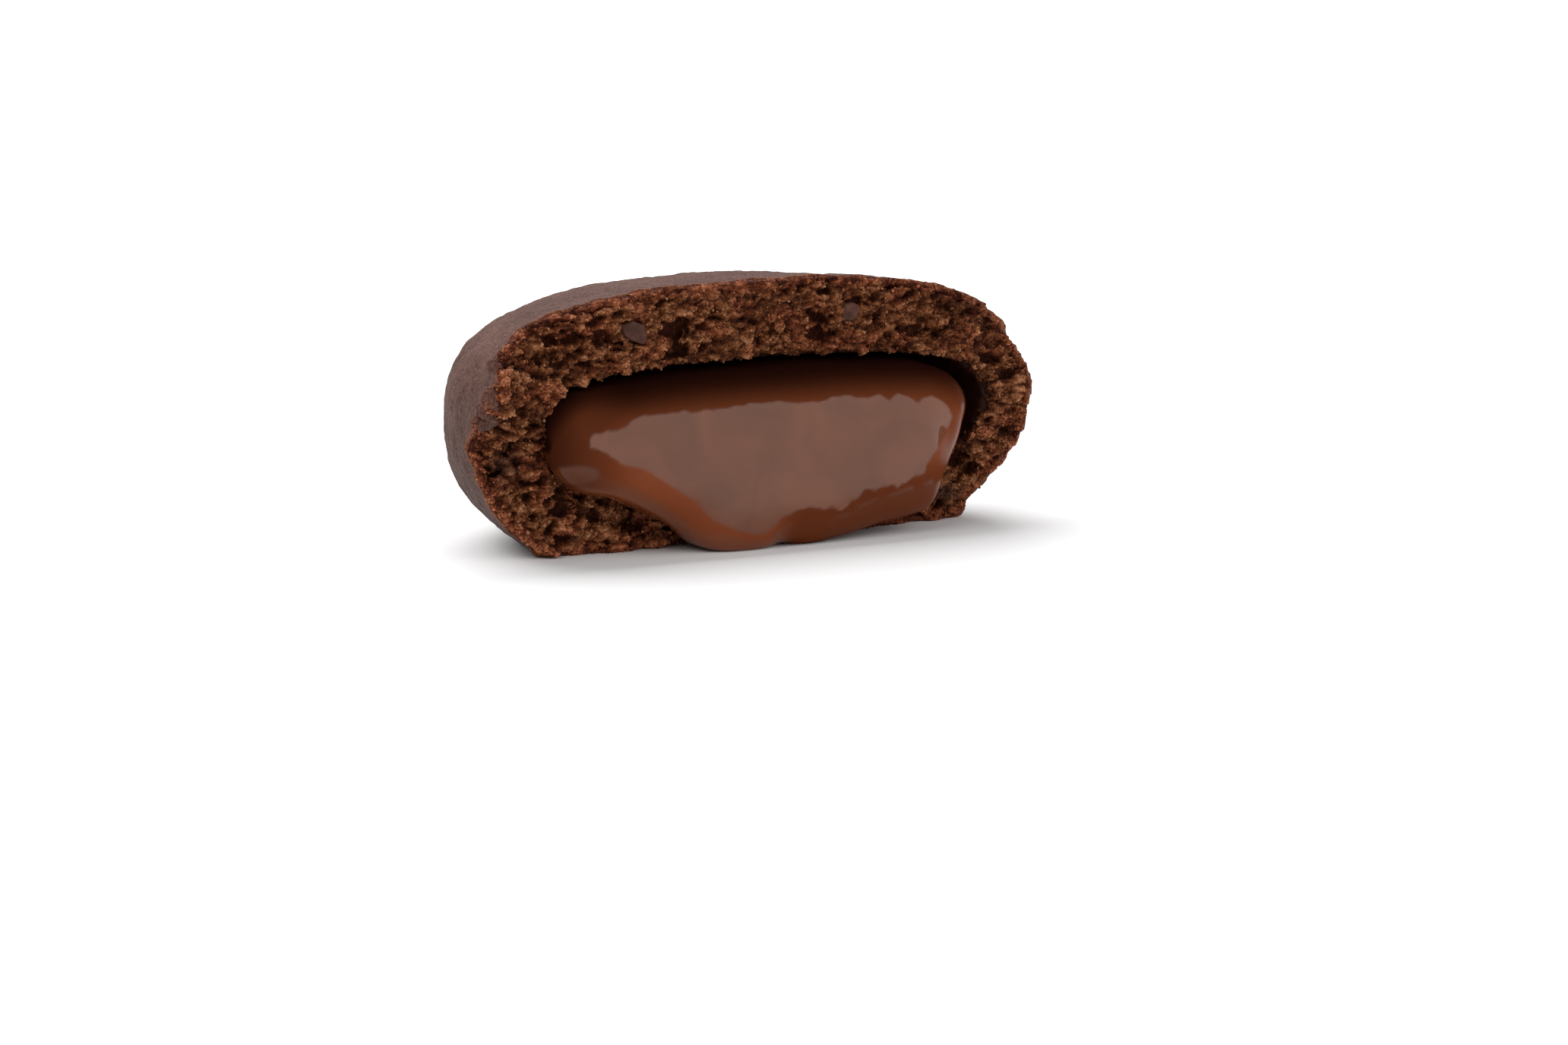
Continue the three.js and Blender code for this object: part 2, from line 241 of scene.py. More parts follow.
# Painted shade in the filling's colour: dark under the chamber's roof, darker at its foot on the right and
# at its right end, and set at its left end
ROOF_SHADE = (0.8, 4.8)  # how far under the roof the filling gets lighter
FOOT_SHADE = 0.45  # how much darker its foot is on the right
FOOT_SHADE_X = (-2.5, 1.0)
FOOT_SHADE_Z = (4, 7)
RIGHT_SHADE = 0.2  # how much darker its right end is
RIGHT_SHADE_X = (13.5, 16)
LEFT_LIGHT = 0.42  # how light its left end is
LEFT_SHADE = 0.2  # how much less at the very end
LEFT_SHADE_X = (-19, -17)
LEFT_ROOF_SHADE = (0.2, 1.8)
LEFT_X = (-17.5, -12)
LEFT_Z = (4.5, 6)
CHAMBER_R = 20.1  # the chamber that it runs through: half width, middle, and its roof above the girth
CHAMBER_X = 0.89
CHAMBER_Z = 8.9
ROOF_RISE = 5.1
ROOF_POWER = 3.5

# The photograph's view
PHOTO_W = 2064
VIEW_YAW = math.radians(30.61)  # to the left of the torn face's normal
VIEW_RISE = math.radians(9.19)
VIEW_DISTANCE = 420.0
VIEW_AIM = Vector((1.55, -10.63, 1.30))
VIEW_PX_PER_MM = 16.889  # at the aim
SENSOR = 36.0

# The studio: softboxes by place and aim in metres, width and height, and how bright their faces are
WORLD = 0.26
FLOOR_HALF = 6.0  # in metres
SOFTBOXES = {
    "panel_front_right": ((0.32, -0.53, 0.32), (0.0, -0.01, 0.14), (1.3, 0.7), 1.05),
    "softbox_above": ((0.0, 0.68, 0.8), (0.0, 0.15, 0.0), (1.6, 0.9), 4.2),
    "softbox_left": ((-0.55, -0.25, 0.6), (0.0, 0.0, 0.01), (0.4, 0.4), 2.5),
}


def linear(hex_colour):
    """Linear RGBA of an sRGB hex colour."""
    parts = [int(hex_colour[i : i + 2], 16) / 255 for i in (1, 3, 5)]
    return [c / 12.92 if c <= 0.04045 else ((c + 0.055) / 1.055) ** 2.4 for c in parts] + [1.0]


def clamped(x):
    return min(max(x, 0.0), 1.0)


def smoothstep(low, high, x):
    t = clamped((x - low) / (high - low))
    return t * t * (3 - 2 * t)


def uneven(p, depth, size, start=(0, 0, 0)):
    """Noise of a depth and a size at a point."""
    return depth * noise.noise(p / size + Vector(start))


def add(tree, kind, inputs, out=None, stops=None, **settings):
    """Adds a node with its settings, and gives the output that is asked for, or else the node.

    An input takes a value, or the socket that feeds it. Stops are a colour ramp's.
    """
    made = tree.nodes.new(kind)
    for name, value in settings.items():
        setattr(made, name, value)
    for key, value in inputs.items():
        if isinstance(value, bpy.types.NodeSocket):
            tree.links.new(value, made.inputs[key])
        else:
            made.inputs[key].default_value = value
    if stops:
        ramp = made.color_ramp
        while len(ramp.elements) < len(stops):
            ramp.elements.new(1.0)
        for element, (place, colour) in zip(ramp.elements, stops):
            element.position = place
            element.color = linear(colour)
    return made if out is None else made.outputs[out]


def new_material(name):
    material = bpy.data.materials.new(name)
    material.use_nodes = True
    material.node_tree.nodes.clear()
    return material, material.node_tree


def per_metre(size_mm):
    """Scale of a texture whose features are this many millimetres apart."""
    return 1.0 / (size_mm * MM)


def crust_material():
    """Baked cocoa crust: dull purple-brown and finely pitted, with pale specks, partly flour and sugar and
    partly painted glints, and dark pits with painted shade in them.

    It is darker towards the base, which is painted shade, and raw, orange dough where it tore.
    """
    material, tree = new_material("baked_cocoa_crust")
    place = add(tree, "ShaderNodeTexCoord", {}, "Object")
    upright = add(tree, "ShaderNodeVectorMath", {0: place, 1: (1.0, 1.0, 0.7)}, 0, operation="MULTIPLY")
    cloud = add(tree, "ShaderNodeTexNoise", {"Vector": place, "Scale": per_metre(5), "Detail": 3.0}, "Fac")
    grain = add(
        tree, "ShaderNodeTexNoise",
        {"Vector": upright, "Scale": per_metre(0.18), "Detail": 3.0, "Roughness": 0.7}, "Fac",
    )
    level = add(tree, "ShaderNodeMath", {0: grain, 1: 2.2, 2: -0.9}, 0, operation="MULTIPLY_ADD")
    level = add(tree, "ShaderNodeMath", {0: cloud, 1: 0.6, 2: level}, 0, operation="MULTIPLY_ADD")
    colour = add(
        tree, "ShaderNodeValToRGB", {"Fac": level}, "Color",
        stops=((0.2, "#462d26"), (0.5, "#5c3d34"), (0.8, "#725045")),
    )
    height = add(tree, "ShaderNodeSeparateXYZ", {"Vector": place}, "Z")
    # Painted shade: the colour darkens towards the base, from 1 mm up to 17 mm
    painted_base_shade = add(
        tree, "ShaderNodeMapRange",
        {"Value": height, "From Min": 1 * MM, "From Max": 17 * MM, "To Min": 0.58, "To Max": 1.0}, "Result",
    )
    colour = add(tree, "ShaderNodeVectorMath", {0: colour, "Scale": painted_base_shade}, 0, operation="SCALE")
    shine = add(
        tree, "ShaderNodeMapRange",
        {"Value": height, "From Min": 11 * MM, "From Max": 18 * MM, "To Min": 0.2, "To Max": 0.08}, "Result",
    )
    specks = add(tree, "ShaderNodeTexVoronoi", {"Vector": place, "Scale": per_metre(0.42)})
    own = add(tree, "ShaderNodeSeparateColor", {"Color": specks.outputs["Color"]})
    size = add(
        tree, "ShaderNodeMath", {0: own.outputs["Green"], 1: 0.2, 2: 0.1}, 0, operation="MULTIPLY_ADD"
    )
    speck = add(tree, "ShaderNodeMath", {0: specks.outputs["Distance"], 1: size}, 0, operation="LESS_THAN")
    # A few specks are pale, partly flour or sugar and partly painted glints, and many are dark pits with
    # painted shade in them
    for test, limit, share, tint in (
        ("GREATER_THAN", 0.9, 0.5, "#a1826c"),
        ("LESS_THAN", 0.45, 0.6, "#27140f"),
    ):
        chosen = add(tree, "ShaderNodeMath", {0: own.outputs["Red"], 1: limit}, 0, operation=test)
        there = add(tree, "ShaderNodeMath", {0: speck, 1: chosen}, 0, operation="MULTIPLY")
        amount = add(tree, "ShaderNodeMath", {0: there, 1: share}, 0, operation="MULTIPLY")
        colour = add(
            tree, "ShaderNodeMix", {"Factor": amount, 6: colour, 7: linear(tint)}, 2, data_type="RGBA"
        )
    rim = add(tree, "ShaderNodeAttribute", {}, "Fac", attribute_name="rim")
    patch = add(
        tree, "ShaderNodeTexNoise", {"Vector": place, "Scale": per_metre(2.5), "Detail": 3.0}, "Fac"
    )
    raw = add(tree, "ShaderNodeMath", {0: rim, 1: patch}, 0, operation="MULTIPLY")
    raw = add(tree, "ShaderNodeMapRange", {"Value": raw, "From Min": 0.3, "From Max": 0.55}, "Result")
    dough = add(
        tree, "ShaderNodeValToRGB", {"Fac": grain}, "Color",
        stops=((0.35, "#512819"), (0.5, "#74402a"), (0.65, "#a06443")),
    )
    colour = add(tree, "ShaderNodeMix", {"Factor": raw, 6: colour, 7: dough}, 2, data_type="RGBA")
    pits = add(tree, "ShaderNodeMath", {0: speck, 1: -0.7, 2: grain}, 0, operation="MULTIPLY_ADD")
    bump = add(tree, "ShaderNodeBump", {"Height": pits, "Distance": 0.12 * MM, "Strength": 1.0}, "Normal")
    shader = add(
        tree, "ShaderNodeBsdfPrincipled",
        {"Base Color": colour, "Roughness": 0.65, "Specular IOR Level": shine, "Normal": bump}, "BSDF",
    )
    add(tree, "ShaderNodeOutputMaterial", {"Surface": shader})
    return material


def crumb_material():
    """Torn cocoa crumb: dry, open and grainy, orange-brown on its tips and dark in its cracks, which is
    partly painted shade.

    It is redder near the crust, and dark and soaked in the chamber, partly with cocoa fat and partly with
    painted shade.
    """
    material, tree = new_material("torn_cocoa_crumb")
    place = add(tree, "ShaderNodeTexCoord", {}, "Object")
    tone_and_shading = add(tree, "ShaderNodeAttribute", {}, "Fac", attribute_name="tone_and_shading")
    wet_and_shade = add(tree, "ShaderNodeAttribute", {}, "Fac", attribute_name="wet_and_shade")
    patch = add(
        tree, "ShaderNodeTexNoise", {"Vector": place, "Scale": per_metre(1.6), "Detail": 3.0}, "Fac"
    )
    fleck = add(
        tree, "ShaderNodeTexNoise", {"Vector": place, "Scale": per_metre(0.2), "Detail": 4.0}, "Fac"
    )
    both = add(tree, "ShaderNodeMath", {0: fleck, 1: 2.0, 2: patch}, 0, operation="MULTIPLY_ADD")
    shift = add(tree, "ShaderNodeMath", {0: both, 1: 0.5, 2: -0.75}, 0, operation="MULTIPLY_ADD")
    level = add(tree, "ShaderNodeMath", {0: tone_and_shading, 1: shift}, 0, operation="ADD")
    dry = add(
        tree, "ShaderNodeValToRGB", {"Fac": level}, "Color",
        stops=((0.0, "#341507"), (0.25, "#532a13"), (0.5, "#714226"), (0.75, "#905d3d"), (1.0, "#b6825e")),
    )
    baked = add(tree, "ShaderNodeAttribute", {}, "Fac", attribute_name="baked")
    browned = add(
        tree, "ShaderNodeValToRGB", {"Fac": level}, "Color",
        stops=((0.0, "#3a1408"), (0.5, "#7a3f25"), (1.0, "#b8734f")),
    )
    colour = add(tree, "ShaderNodeMix", {"Factor": baked, 6: dry, 7: browned}, 2, data_type="RGBA")
    # Soaked crumb is darker: the cocoa fat it took up, and in the chamber also painted shade
    colour = add(
        tree, "ShaderNodeMix", {"Factor": wet_and_shade, 6: colour, 7: linear("#26100b")}, 2, data_type="RGBA"
    )
    rough = add(tree, "ShaderNodeMath", {0: wet_and_shade, 1: -0.5, 2: 0.78}, 0, operation="MULTIPLY_ADD")
    fine = add(
        tree, "ShaderNodeTexNoise", {"Vector": place, "Scale": per_metre(0.14), "Detail": 3.0}, "Fac"
    )
    bump = add(tree, "ShaderNodeBump", {"Height": fine, "Distance": 0.09 * MM, "Strength": 0.9}, "Normal")
    shader = add(
        tree, "ShaderNodeBsdfPrincipled",
        {"Base Color": colour, "Roughness": rough, "Specular IOR Level": 0.12, "Normal": bump}, "BSDF",
    )
    add(tree, "ShaderNodeOutputMaterial", {"Surface": shader})
    return material


def chip_material():
    """Dark chocolate with a little fat bloom: grey-brown and smooth where it broke."""
    material, tree = new_material("bloomed_dark_chocolate")
    place = add(tree, "ShaderNodeTexCoord", {}, "Object")
    bloom = add(
        tree, "ShaderNodeTexNoise", {"Vector": place, "Scale": per_metre(0.8), "Detail": 4.0}, "Fac"
    )
    colour = add(
        tree, "ShaderNodeValToRGB", {"Fac": bloom}, "Color", stops=((0.35, "#3f261d"), (0.7, "#5b3b30"))
    )
    shader = add(
        tree, "ShaderNodeBsdfPrincipled",
        {"Base Color": colour, "Roughness": 0.55, "Specular IOR Level": 0.12}, "BSDF",
    )
    add(tree, "ShaderNodeOutputMaterial", {"Surface": shader})
    return material


def filling_material():
    """Molten milk chocolate: warm brown and mirror-glossy where its mask lets it reflect, duller and more
    orange along its thin edges, with painted shade.
    """
    material, tree = new_material("molten_milk_chocolate")
    place = add(tree, "ShaderNodeTexCoord", {}, "Object")
    reflection_mask = add(tree, "ShaderNodeAttribute", {}, "Fac", attribute_name="reflection_mask")
    shade = add(tree, "ShaderNodeAttribute", {}, "Fac", attribute_name="shade")
    swirl = add(
        tree, "ShaderNodeTexNoise",
        {"Vector": place, "Scale": per_metre(5), "Detail": 3.0, "Distortion": 0.6}, "Fac",
    )
    deep = add(
        tree, "ShaderNodeValToRGB", {"Fac": swirl}, "Color", stops=((0.35, "#65351a"), (0.65, "#723e20"))
    )
    # the painted reflection mask also sets the colour: deeper brown inside it, more orange outside it
    colour = add(
        tree, "ShaderNodeMix", {"Factor": reflection_mask, 6: linear("#7d4025"), 7: deep}, 2, data_type="RGBA"
    )
    # painted shade mixes the colour towards near-black
    colour = add(
        tree, "ShaderNodeMix", {"Factor": shade, 6: linear("#220d08"), 7: colour}, 2, data_type="RGBA"
    )
    dull = add(
        tree, "ShaderNodeMapRange",
        {"Value": shade, "From Min": 0.7, "From Max": 1.0, "To Min": 0.0, "To Max": 0.05}, "Result",
    )
    shine = add(tree, "ShaderNodeMath", {0: reflection_mask, 1: 0.45, 2: dull}, 0, operation="MULTIPLY_ADD")
    shader = add(
        tree, "ShaderNodeBsdfPrincipled",
        {
            "Base Color": colour,
            "Roughness": 0.06,
            "Specular IOR Level": shine,
            "Subsurface Weight": 0.25,
            "Subsurface Radius": (1.0, 0.4, 0.2),
            "Subsurface Scale": 0.9 * MM,
        },
        "BSDF",
    )
    add(tree, "ShaderNodeOutputMaterial", {"Surface": shader})
    return material


def floor_material():
    """Matt white paper: an even white ground with a soft shadow."""
    material, tree = new_material("matt_white_paper")
    shader = add(
        tree, "ShaderNodeBsdfPrincipled", {"Base Color": linear("#f6f6f6"), "Roughness": 0.8}, "BSDF"
    )
    add(tree, "ShaderNodeOutputMaterial", {"Surface": shader})
    return material


def cad_copy(node):
    """A merged copy of a solid's mesh, as a bmesh."""
    bm = bmesh.new()
    bm.from_mesh(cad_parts[node].data)
    bmesh.ops.remove_doubles(bm, verts=bm.verts, dist=0.001 * MM)
    return bm


def applied(bm, kind, **settings):
    """The same body after a modifier."""
    mesh = bpy.data.meshes.new("net")
    bm.to_mesh(mesh)
    holder = bpy.data.objects.new("net", mesh)
    bpy.context.scene.collection.objects.link(holder)
    step = holder.modifiers.new("net", kind)
    for name, value in settings.items():
        setattr(step, name, value)
    depsgraph = bpy.context.evaluated_depsgraph_get()
    made = bpy.data.meshes.new_from_object(holder.evaluated_get(depsgraph))
    bpy.data.objects.remove(holder)
    bpy.data.meshes.remove(mesh)
    bm.clear()
    bm.from_mesh(made)
    bpy.data.meshes.remove(made)
    return bm


def even_net(node, voxel):
    """A copy of a solid as an even net of quads."""
    return applied(cad_copy(node), "REMESH", mode="VOXEL", voxel_size=voxel * MM)


def mesh_of(bm):
    mesh = bpy.data.meshes.new("mesh")
    bm.to_mesh(mesh)
    bm.free()
    return mesh


def finished(mesh, name, material, node=None):
    """Makes a piece of the object from a mesh."""
    piece = bpy.data.objects.new(name, mesh)
    mesh.name = name
    bpy.context.scene.collection.objects.link(piece)
    mesh.shade_smooth()
    mesh.materials.append(material)
    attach(piece, "root")
    if node:
        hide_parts(node)
    return piece


def smooth(bm, verts, times):
    for _ in range(times):
        bmesh.ops.smooth_vert(
            bm, verts=verts, factor=0.5, use_axis_x=True, use_axis_y=True, use_axis_z=True
        )


def mark_rings(start, layer, rings):
    """Writes 1 at the starting vertices, fading to 0 over some rings of faces round them."""
    reached = set(start)
    front = list(start)
    for ring in range(rings):
        for v in front:
            v[layer] = 1 - ring / rings
        front = [e.other_vert(v) for v in front for e in v.link_edges]
        front = [v for v in dict.fromkeys(front) if v not in reached]
        reached.update(front)


def keep_largest_island(bm):
    """Deletes all but the largest connected sheet of faces."""
    left = dict.fromkeys(bm.verts)
    islands = []
    while left:
        reached = [left.popitem()[0]]
        island = []
        while reached:
            v = reached.pop()
            island.append(v)
            for other in [e.other_vert(v) for e in v.link_edges]:
                if other in left:
                    del left[other]
                    reached.append(other)
        islands.append(island)
    islands.sort(key=len)
    for island in islands[:-1]:
        bmesh.ops.delete(bm, geom=island, context="VERTS")


def crust_depth(p):
    """How far under the whole cookie's outside a point lies (millimetres)."""
    ray = p - AXIS
    height, power = (CROWN_H, CROWN_POWER) if ray.z > 0 else (SOLE_H, SOLE_POWER)
    across = math.hypot(ray.x, ray.y) / COOKIE_R
    share = max((across**power + (abs(ray.z) / height) ** power) ** (1 / power), 1e-6)
    return min(ray.length * (1 / share - 1), p.z)


def half_sizes_away(p, x, z, wide, high):
    """How far a point lies from a place on the break, in half widths and half heights."""
    return math.hypot((p.x - x) / wide, (p.z - z) / high)


def relief(p, layers):
    """Height of layers of unevenness at a point (millimetres)."""
    return sum(uneven(p, *layer) for layer in layers)


def flaked_off(face, rim):
    """Whether a face of the crust broke off along the torn edge."""
    ring = min(1 - v[rim] for v in face.verts) * RIM_RINGS
    centre = face.calc_center_median() / MM
    lost = FLAKED_RINGS - CLEAN_RINGS * smoothstep(*CLEAN_BREAK, centre.x)
    kept = max(1 - (centre - Vector(middle)).length / reach for middle, reach, _ in LUMPS)
    return ring < lost + uneven(centre, *FLAKES) - LUMP_RINGS * max(kept, 0)


def make_crust():
    """The thin baked skin: what lies outside on the solid, with a flaked edge, raw lumps and a thickness."""
    bm = even_net("cookie_half", CRUST_VOXEL)
    rim = bm.verts.layers.float.new("rim")
    bm.normal_update()
    inner = []
    for face in bm.faces:
        centre = face.calc_center_median() / MM
        torn = face.normal.y < CRUST_FACING and centre.y < BREAK_Y + BREAK_DEPTH
        if torn or crust_depth(centre) > CRUST_REACH:
            inner.append(face)
    bmesh.ops.delete(bm, geom=inner, context="FACES")
    keep_largest_island(bm)
    mark_rings([v for v in bm.verts if v.is_boundary], rim, RIM_RINGS)
    flakes = [face for face in bm.faces if flaked_off(face, rim)]
    bmesh.ops.delete(bm, geom=flakes, context="FACES")
    while pinched := [v for v in bm.verts if sum(e.is_boundary for e in v.link_edges) > 2]:
        bmesh.ops.delete(bm, geom=pinched, context="VERTS")
    keep_largest_island(bm)
    edge = [v for v in bm.verts if v.is_boundary]
    smooth(bm, edge, EDGE_SMOOTHING)
    smooth(bm, [v for v in bm.verts if not v.is_boundary], CRUST_SMOOTHING)
    mark_rings(edge, rim, RIM_RINGS)
    bm.normal_update()
    for v in bm.verts:
        p = v.co / MM
        swell = relief(p, CRUST_RELIEF) * smoothstep(*CRUST_FOOT, p.z)
        for middle, reach, height in LUMPS:
            away = (p - Vector(middle)).length + uneven(p, *LUMP_OUTLINE)
            lump = 1 - smoothstep(LUMP_TOP * reach, reach, away)
            swell += height * lump * (1 + uneven(p, *LUMP_ROUGH))
            v[rim] = max(v[rim], LUMP_RAW * lump)
        v.co += v.normal * swell * MM
        v.co.z = max(v.co.z, 0.0)
    piece = finished(mesh_of(bm), "baked_crust", crust_material(), "cookie_half")
    shell = piece.modifiers.new("shell", "SOLIDIFY")
    shell.thickness = CRUST_THICK * MM
    shell.offset = -1.0
    return piece


def make_knobs(material):
    """Knobs of crust on the torn edge, joined in one mesh."""
    bm = bmesh.new()
    rim = bm.verts.layers.float.new("rim")
    for middle, half in KNOBS:
        for v in bmesh.ops.create_icosphere(bm, subdivisions=4, radius=1.0)["verts"]:
            p = Vector(middle) + Vector(map(math.prod, zip(half, v.co)))
            p += v.co * relief(p, KNOB_RELIEF)
            v[rim] = KNOB_RAW
            v.co = p * MM
    return finished(mesh_of(bm), "crust_knobs", material)


def cells(p, size):
    """Rounded cells of a size: 0 in the cracks to 1 on the tops, and each one's own number from -1 to 1."""
    near, points = noise.voronoi(p / size)
    return smoothstep(*CELL_SIDE, near[1] - near[0]), noise.cell(points[0] * CELL_DRAW)


def chip_near(p):
    """Whether a point lies beside one of the chocolate pieces."""
    return any(math.hypot(p.x - x, p.z - z) < clear for x, z, clear, _ in CHIPS)


def hollow_finder():
    """A tree that finds the hole nearest to a place."""
    tree = KDTree(len(HOLLOWS))
    for index, (x, z, _, _) in enumerate(HOLLOWS):
        tree.insert((x, 0, z), index)
    tree.balance()
    return tree


def hollow_at(p, hollows):
    """How deep in the nearest hole a point lies, from 0 to 1."""
    index = hollows.find((p.x, 0, p.z))[1]
    away = half_sizes_away(p, *HOLLOWS[index])
    away += HOLLOW_ROUGH * noise.fractal(p / HOLLOW_GRAIN, *HOLLOW_NOISE)
    return 1 - smoothstep(*HOLLOW_SIDE, away)


def crumb_relief(p, hollows):
    """Height of the torn crumb at a point (millimetres), and its lightness from 0 to 1, with painted shade
    and light.
    """
    flat = Vector((DOUGH_LAYERS[0] * p.x, p.y, DOUGH_LAYERS[1] * p.z))
    flat += noise.noise_vector(p / DOUGH_BENDS[1]) * DOUGH_BENDS[0]
    clump = noise.fractal(flat / CRUMB_CLUMP, *CLUMP_NOISE)
    clump *= 1 + COARSER * (1 - smoothstep(*COARSE_X, p.x))
    lump, own_lump = cells(flat, CRUMB_LUMP)
    bead, own_bead = cells(flat, CRUMB_BEAD)
    hollow = max(hollow_at(p, hollows), PORE * smoothstep(*PORE_EDGE, -clump))
    parts = (1, clump, lump, own_lump, bead, own_bead, hollow)
    height = sum(map(math.prod, zip(CRUMB_HEIGHT, parts)))
    light = sum(map(math.prod, zip(CRUMB_LIGHT, parts)))
    # Painted light at the foot, painted shade on the left side and along the roof
    foot = 1 - smoothstep(*FOOT_Z, p.z)
    left = (1 - smoothstep(*LEFT_DIM_X, p.x)) * smoothstep(*LEFT_DIM_Z, p.z)
    roof = smoothstep(*ROOF_Z, p.z)
    light += FOOT_LIGHT * foot - LEFT_DIM * left - ROOF_DIM * p.x * roof
    if chip_near(p):
        height -= CHIP_SEAT
    return height, clamped(light)


def make_crumb():
    """The crumb body: drawn in under the crust, and cut fine and torn where the cookie broke."""
    hollows = hollow_finder()
    bm = even_net("cookie_half", CRUMB_VOXEL)
    torn = bm.verts.layers.float.new("torn")
    tone_and_shading = bm.verts.layers.float.new("tone_and_shading")
    wet_and_shade = bm.verts.layers.float.new("wet_and_shade")
    baked = bm.verts.layers.float.new("baked")
    bm.normal_update()
    face = [v for v in bm.verts if v.normal.y < CRUMB_FACING and v.co.y / MM < BREAK_Y + BREAK_DEPTH]
    mark_rings(face, torn, TORN_RINGS)
    for v in bm.verts:
        p = v.co / MM
        depth = crust_depth(p)
        # the chamber's crumb is soaked and dark, partly with cocoa fat and partly with painted shade
        in_chamber = 0.0 if depth < CRUMB_RIND else 1 - smoothstep(*CHAMBER_DRY, v[torn])
        fat = min(half_sizes_away(p, *patch) for patch in SOAKED) + uneven(p, *SOAKED_EDGE)
        v[wet_and_shade] = max(in_chamber, SOAKED_SHARE - SOAKED_SHARE * smoothstep(*SOAKED_FADE, fat))
        if depth < CRUMB_RIND and v[torn] == 0:
            v.co -= v.normal * CRUMB_INSET * MM
        elif depth < CRUMB_RIND:
            v.co -= (p - AXIS).normalized() * EDGE_INSET * (CRUMB_RIND - max(depth, 0.0)) * MM
    zone = [f for f in bm.faces if max(v[torn] for v in f.verts) > TORN_CUT]
    edges = list(dict.fromkeys(e for f in zone for e in f.edges))
    bmesh.ops.subdivide_edges(bm, edges=edges, cuts=CRUMB_CUTS, use_grid_fill=True)
    bm.normal_update()
    for v in bm.verts:
        p = v.co / MM
        height, light = crumb_relief(p, hollows)
        depth = crust_depth(p)
        # its lightness holds painted shade in cracks and holes, and painted light and shade by place
        v[tone_and_shading] = light
        under_crust = 1 - smoothstep(*BAKED_DEPTH, depth + uneven(p, *BAKED_EDGE))
        patch = smoothstep(*BAKED_PATCH_EDGE, uneven(p, *BAKED_PATCH))
        v[baked] = max(under_crust, BAKED_PATCH_SHARE * patch)
        v.co += v.normal * height * smoothstep(*TORN_RELIEF, v[torn]) * smoothstep(*RIND_RELIEF, depth) * MM
        v.co.z = max(v.co.z, CRUMB_FLOOR * MM)
    return finished(mesh_of(bm), "torn_crumb", crumb_material(), "cookie_half")


def grain_seats(crumb):
    """Places on the torn face where a granule can sit.

    Each row holds the middle, the normal, the crumb's lightness with its painted shade, its browning, its
    soaking with the chamber's painted shade, and the largest size.
    """
    layers = [crumb.data.attributes[layer].data for layer in ("torn", "tone_and_shading", "baked", "wet_and_shade")]
    seats = []
    for face in crumb.data.polygons:
        torn, tone_and_shading, baked, wet_and_shade = (layer[face.vertices[0]].value for layer in layers)
        centre = face.center / MM
        depth = crust_depth(centre)
        clear = SEAT_CLEAR + SEAT_CLEAN * smoothstep(*CLEAN_BREAK, centre.x)
        if torn > SEAT_TORN and depth > clear and not chip_near(centre):
            seats.append((*face.center, *face.normal, tone_and_shading, baked, wet_and_shade, max(depth, SMALLEST_SEAT)))
    return np.array(seats)


def make_grains(name, material, seats, count, radii, facets, seed):
    """Granules that the torn crumb is made of, joined in one mesh."""
    rng = np.random.default_rng(seed)
    ball = bmesh.new()
    bmesh.ops.create_uvsphere(ball, u_segments=facets[0], v_segments=facets[1], radius=1.0)
    bmesh.ops.triangulate(ball, faces=ball.faces)
    points = np.array([v.co for v in ball.verts])
    corners = np.array([[v.index for v in f.verts] for f in ball.faces])
    ball.free()
    middle, normal, looks = np.split(seats[rng.integers(len(seats), size=count)], (3, 6), axis=1)
    tone_and_shading, baked, wet_and_shade, largest = looks.T
    size = radii[0] + (radii[1] - radii[0]) * rng.random(count) ** 2
    size = np.minimum(size, largest)
    form = rng.uniform(*GRAIN_FORM, (count, len(points), 1)) * rng.uniform(*GRAIN_FORM, (count, 1, 3))
    turn = np.array([Euler(angles).to_matrix() for angles in rng.uniform(0, 2 * math.pi, (count, 3))])
    lift = (rng.uniform(*GRAIN_LIFT, count) * size * MM)[:, None]
    places = np.einsum("nij,nkj->nki", turn, points * form) * (size * MM)[:, None, None]
    places += (middle + normal * lift)[:, None, :]
    places[:, :, 2] = np.maximum(places[:, :, 2], 0.0)
    faces = corners[None] + len(points) * np.arange(count)[:, None, None]
    mesh = bpy.data.meshes.new(name)
    mesh.from_pydata(places.reshape(-1, 3), [], faces.reshape(-1, 3))
    spread = rng.normal(*GRAIN_TONE, count) * np.minimum(DARK_SPREAD + TONE_SPREAD * tone_and_shading, 1)
    lights = np.clip(tone_and_shading + spread + GRAIN_LIGHT * (size - MEAN_GRAIN), 0, 1)
    reds = np.clip(baked + rng.uniform(*GRAIN_BAKED, count), 0, 1)
    for layer, values in (("tone_and_shading", lights), ("baked", reds), ("wet_and_shade", wet_and_shade)):
        attribute = mesh.attributes.new(layer, "FLOAT", "POINT")
        attribute.data.foreach_set("value", np.repeat(values, len(points)))
    return finished(mesh, name, material)


